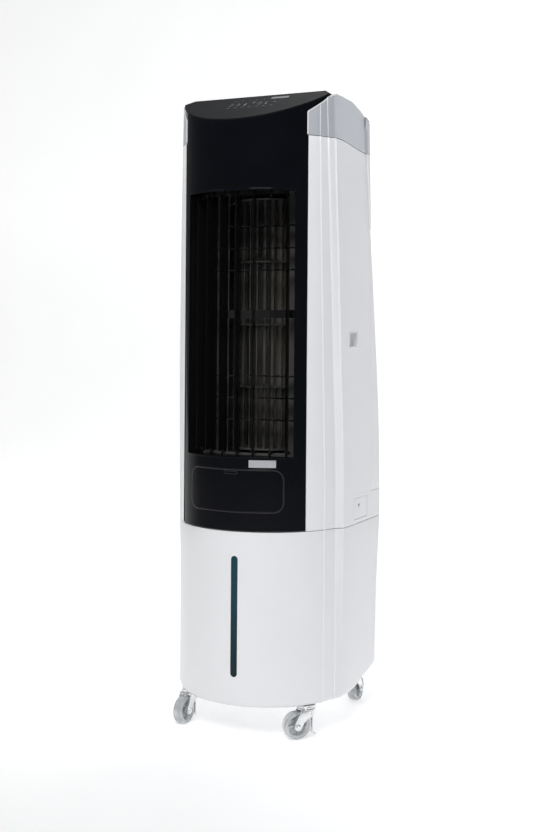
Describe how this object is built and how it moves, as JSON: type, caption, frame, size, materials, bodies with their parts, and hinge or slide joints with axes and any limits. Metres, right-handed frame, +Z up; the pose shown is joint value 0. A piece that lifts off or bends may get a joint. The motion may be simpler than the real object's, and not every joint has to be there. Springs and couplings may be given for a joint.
{
  "type": "tower air cooler",
  "caption": "Tall evaporative tower air cooler with a curved louvred outlet, sloped touch deck, water tank with level window, rear pad grille and swivel castors.",
  "frame": {"origin": "centre of the footprint on the floor, under the middle of the overall box with the castors at rest", "axes": "+Z up, -Y towards the front with the air outlet, +X to the right as seen from the front"},
  "size_m": [0.352, 0.363, 1.198],
  "materials": {
    "white_shell": "satin moulded ABS, warm white",
    "silver_cap": "silver paint on moulded ABS, satin",
    "black_gloss": "high gloss black",
    "deck_black": "satin black with faint touch marks",
    "duct_black": "semi-gloss black moulding",
    "rotor_black": "satin black moulding",
    "link_grey": "matt dark grey",
    "frame_grey": "matt dark grey",
    "zinc_steel": "bright zinc-plated pressed steel",
    "motor_steel": "bare pressed steel",
    "wheel_clear": "translucent smoky grey plastic",
    "window_teal": "clear teal window",
    "label_silver": "blank brushed silver plate",
    "pad_fibre": "corrugated cellulose",
    "filter_mesh": "black nylon mesh in a frame",
    "white_part": "natural white moulding",
    "hose_clear": "soft clear tube",
    "pump_grey": "grey moulding",
    "float_orange": "foamed orange plastic",
    "board_green": "circuit board"
  },
  "bodies": {
    "cooler": {"water_tank": "white_shell", "level_window": "window_teal", "chassis_deck": "frame_grey", "castor_plates": "zinc_steel", "side_panel_left": "white_shell", "side_panel_right": "white_shell", "shoulder_cap_left": "silver_cap", "shoulder_cap_right": "silver_cap", "front_panel": "black_gloss", "louvre_frame": "duct_black", "control_panel": "deck_black", "control_board": "board_green", "top_cover": "white_shell", "rear_frame": "frame_grey", "cooling_pad": "pad_fibre", "water_distributor": "white_part", "pump_hose": "hose_clear", "pump_body": "pump_grey", "fan_motor": "motor_steel", "fan_bearing": "frame_grey", "scroll_housing": "duct_black", "swing_motor": "motor_steel", "float_switch": "white_part", "fill_chute": "white_part", "cord_gland": "frame_grey", "label_plate": "label_silver", "screws": "zinc_steel"},
    "castor_fr": {"castor_fork_fr": "zinc_steel"},
    "wheel_fr": {"castor_wheel_fr": "wheel_clear"},
    "brake_fr": {"castor_brake_fr": "zinc_steel"},
    "castor_fl": {"castor_fork_fl": "zinc_steel"},
    "wheel_fl": {"castor_wheel_fl": "wheel_clear"},
    "brake_fl": {"castor_brake_fl": "zinc_steel"},
    "castor_rr": {"castor_fork_rr": "zinc_steel"},
    "wheel_rr": {"castor_wheel_rr": "wheel_clear"},
    "castor_rl": {"castor_fork_rl": "zinc_steel"},
    "wheel_rl": {"castor_wheel_rl": "wheel_clear"},
    "louvre_4": {"louvre_4": "duct_black"},
    "louvre_1": {"louvre_1": "duct_black"},
    "louvre_2": {"louvre_2": "duct_black"},
    "louvre_3": {"louvre_3": "duct_black"},
    "louvre_5": {"louvre_5": "duct_black"},
    "louvre_6": {"louvre_6": "duct_black"},
    "louvre_7": {"louvre_7": "duct_black"},
    "louvre_link": {"louvre_link": "link_grey"},
    "blade_upper_2": {"blade_upper_2": "duct_black"},
    "blade_upper_1": {"blade_upper_1": "duct_black"},
    "blade_upper_3": {"blade_upper_3": "duct_black"},
    "blade_upper_link": {"blade_upper_link": "link_grey"},
    "blade_lower_2": {"blade_lower_2": "duct_black"},
    "blade_lower_1": {"blade_lower_1": "duct_black"},
    "blade_lower_3": {"blade_lower_3": "duct_black"},
    "blade_lower_link": {"blade_lower_link": "link_grey"},
    "rotor": {"fan_rotor": "rotor_black"},
    "impeller": {"pump_impeller": "white_part"},
    "level_float": {"float": "float_orange"},
    "water_door": {"fill_door": "white_shell"},
    "back": {"rear_cover": "white_shell", "dust_filter": "filter_mesh"},
    "plug": {"drain_plug": "white_part"}
  },
  "joints": [
    {"name": "castor_swivel_fr", "type": "hinge", "parent": "cooler", "child": "castor_fr", "pos_m": [0.122, -0.1045, 0.056], "axis": [0, 0, 1], "continuous": true},
    {"name": "wheel_spin_fr", "type": "hinge", "parent": "castor_fr", "child": "wheel_fr", "pos_m": [0.10714, -0.11788, 0.025], "axis": [0.6691, -0.7431, 0], "continuous": true},
    {"name": "brake_pedal_fr", "type": "hinge", "parent": "castor_fr", "child": "brake_fr", "pos_m": [0.12572, -0.10115, 0.046], "axis": [-0.6691, 0.7431, 0], "range_deg": [0, 6]},
    {"name": "castor_swivel_fl", "type": "hinge", "parent": "cooler", "child": "castor_fl", "pos_m": [-0.122, -0.1045, 0.056], "axis": [0, 0, 1], "continuous": true},
    {"name": "wheel_spin_fl", "type": "hinge", "parent": "castor_fl", "child": "wheel_fl", "pos_m": [-0.1234, -0.12445, 0.025], "axis": [0.9976, -0.0698, 0], "continuous": true},
    {"name": "brake_pedal_fl", "type": "hinge", "parent": "castor_fl", "child": "brake_fl", "pos_m": [-0.12165, -0.09951, 0.046], "axis": [-0.9976, 0.0698, 0], "range_deg": [0, 6]},
    {"name": "castor_swivel_rr", "type": "hinge", "parent": "cooler", "child": "castor_rr", "pos_m": [0.122, 0.1365, 0.056], "axis": [0, 0, 1], "continuous": true},
    {"name": "wheel_spin_rr", "type": "hinge", "parent": "castor_rr", "child": "wheel_rr", "pos_m": [0.122, 0.1565, 0.025], "axis": [-1, 0, 0], "continuous": true},
    {"name": "castor_swivel_rl", "type": "hinge", "parent": "cooler", "child": "castor_rl", "pos_m": [-0.122, 0.1365, 0.056], "axis": [0, 0, 1], "continuous": true},
    {"name": "wheel_spin_rl", "type": "hinge", "parent": "castor_rl", "child": "wheel_rl", "pos_m": [-0.122, 0.1565, 0.025], "axis": [-1, 0, 0], "continuous": true},
    {"name": "louvre_swing", "type": "hinge", "parent": "cooler", "child": "louvre_4", "pos_m": [0, -0.1565, 0.76], "axis": [0, 0, 1], "range_deg": [-30, 30]},
    {"name": "louvre_1_turn", "type": "hinge", "parent": "cooler", "child": "louvre_1", "pos_m": [-0.08705, -0.12695, 0.76], "axis": [0, 0, 1], "range_deg": [-30, 30]},
    {"name": "louvre_2_turn", "type": "hinge", "parent": "cooler", "child": "louvre_2", "pos_m": [-0.06043, -0.1431, 0.76], "axis": [0, 0, 1], "range_deg": [-30, 30]},
    {"name": "louvre_3_turn", "type": "hinge", "parent": "cooler", "child": "louvre_3", "pos_m": [-0.03095, -0.15311, 0.76], "axis": [0, 0, 1], "range_deg": [-30, 30]},
    {"name": "louvre_5_turn", "type": "hinge", "parent": "cooler", "child": "louvre_5", "pos_m": [0.03095, -0.15311, 0.76], "axis": [0, 0, 1], "range_deg": [-30, 30]},
    {"name": "louvre_6_turn", "type": "hinge", "parent": "cooler", "child": "louvre_6", "pos_m": [0.06043, -0.1431, 0.76], "axis": [0, 0, 1], "range_deg": [-30, 30]},
    {"name": "louvre_7_turn", "type": "hinge", "parent": "cooler", "child": "louvre_7", "pos_m": [0.08705, -0.12695, 0.76], "axis": [0, 0, 1], "range_deg": [-30, 30]},
    {"name": "louvre_link_pin", "type": "hinge", "parent": "louvre_1", "child": "louvre_link", "pos_m": [-0.08705, -0.11495, 0.522], "axis": [0, 0, 1], "range_deg": [-30, 30]},
    {"name": "blades_upper_tilt", "type": "hinge", "parent": "cooler", "child": "blade_upper_2", "pos_m": [0, -0.0975, 0.904], "axis": [1, 0, 0], "range_deg": [-25, 25]},
    {"name": "blade_upper_1_turn", "type": "hinge", "parent": "cooler", "child": "blade_upper_1", "pos_m": [0, -0.0975, 0.946], "axis": [1, 0, 0], "range_deg": [-25, 25]},
    {"name": "blade_upper_3_turn", "type": "hinge", "parent": "cooler", "child": "blade_upper_3", "pos_m": [0, -0.0975, 0.863], "axis": [1, 0, 0], "range_deg": [-25, 25]},
    {"name": "blade_upper_link_pin", "type": "hinge", "parent": "blade_upper_2", "child": "blade_upper_link", "pos_m": [-0.1005, -0.0865, 0.904], "axis": [1, 0, 0], "range_deg": [-25, 25]},
    {"name": "blades_lower_tilt", "type": "hinge", "parent": "cooler", "child": "blade_lower_2", "pos_m": [0, -0.0975, 0.623], "axis": [1, 0, 0], "range_deg": [-25, 25]},
    {"name": "blade_lower_1_turn", "type": "hinge", "parent": "cooler", "child": "blade_lower_1", "pos_m": [0, -0.0975, 0.664], "axis": [1, 0, 0], "range_deg": [-25, 25]},
    {"name": "blade_lower_3_turn", "type": "hinge", "parent": "cooler", "child": "blade_lower_3", "pos_m": [0, -0.0975, 0.582], "axis": [1, 0, 0], "range_deg": [-25, 25]},
    {"name": "blade_lower_link_pin", "type": "hinge", "parent": "blade_lower_2", "child": "blade_lower_link", "pos_m": [-0.1005, -0.0865, 0.623], "axis": [1, 0, 0], "range_deg": [-25, 25]},
    {"name": "fan_spin", "type": "hinge", "parent": "cooler", "child": "rotor", "pos_m": [0, -0.0145, 0.76], "axis": [0, 0, 1], "continuous": true},
    {"name": "pump_spin", "type": "hinge", "parent": "cooler", "child": "impeller", "pos_m": [-0.126, 0.0335, 0.09], "axis": [0, 0, 1], "continuous": true},
    {"name": "float_rise", "type": "slide", "parent": "cooler", "child": "level_float", "axis": [0, 0, 1], "range_m": [0, 0.23]},
    {"name": "fill_door_hinge", "type": "hinge", "parent": "cooler", "child": "water_door", "pos_m": [0.1745, 0.029, 0.3923], "axis": [0, 1, 0], "range_deg": [0, 75]},
    {"name": "rear_cover_pull", "type": "slide", "parent": "cooler", "child": "back", "axis": [0, 1, 0], "range_m": [0, 0.08]},
    {"name": "drain_plug_pull", "type": "slide", "parent": "cooler", "child": "plug", "axis": [0, 1, 0], "range_m": [0, 0.03]}
  ],
  "couplings": [
    {"joint": "louvre_1_turn", "follows": "louvre_swing", "ratio": 1},
    {"joint": "louvre_2_turn", "follows": "louvre_swing", "ratio": 1},
    {"joint": "louvre_3_turn", "follows": "louvre_swing", "ratio": 1},
    {"joint": "louvre_5_turn", "follows": "louvre_swing", "ratio": 1},
    {"joint": "louvre_6_turn", "follows": "louvre_swing", "ratio": 1},
    {"joint": "louvre_7_turn", "follows": "louvre_swing", "ratio": 1},
    {"joint": "louvre_link_pin", "follows": "louvre_swing", "ratio": -1},
    {"joint": "blade_upper_1_turn", "follows": "blades_upper_tilt", "ratio": 1},
    {"joint": "blade_upper_3_turn", "follows": "blades_upper_tilt", "ratio": 1},
    {"joint": "blade_upper_link_pin", "follows": "blades_upper_tilt", "ratio": -1},
    {"joint": "blade_lower_1_turn", "follows": "blades_lower_tilt", "ratio": 1},
    {"joint": "blade_lower_3_turn", "follows": "blades_lower_tilt", "ratio": 1},
    {"joint": "blade_lower_link_pin", "follows": "blades_lower_tilt", "ratio": -1}
  ]
}
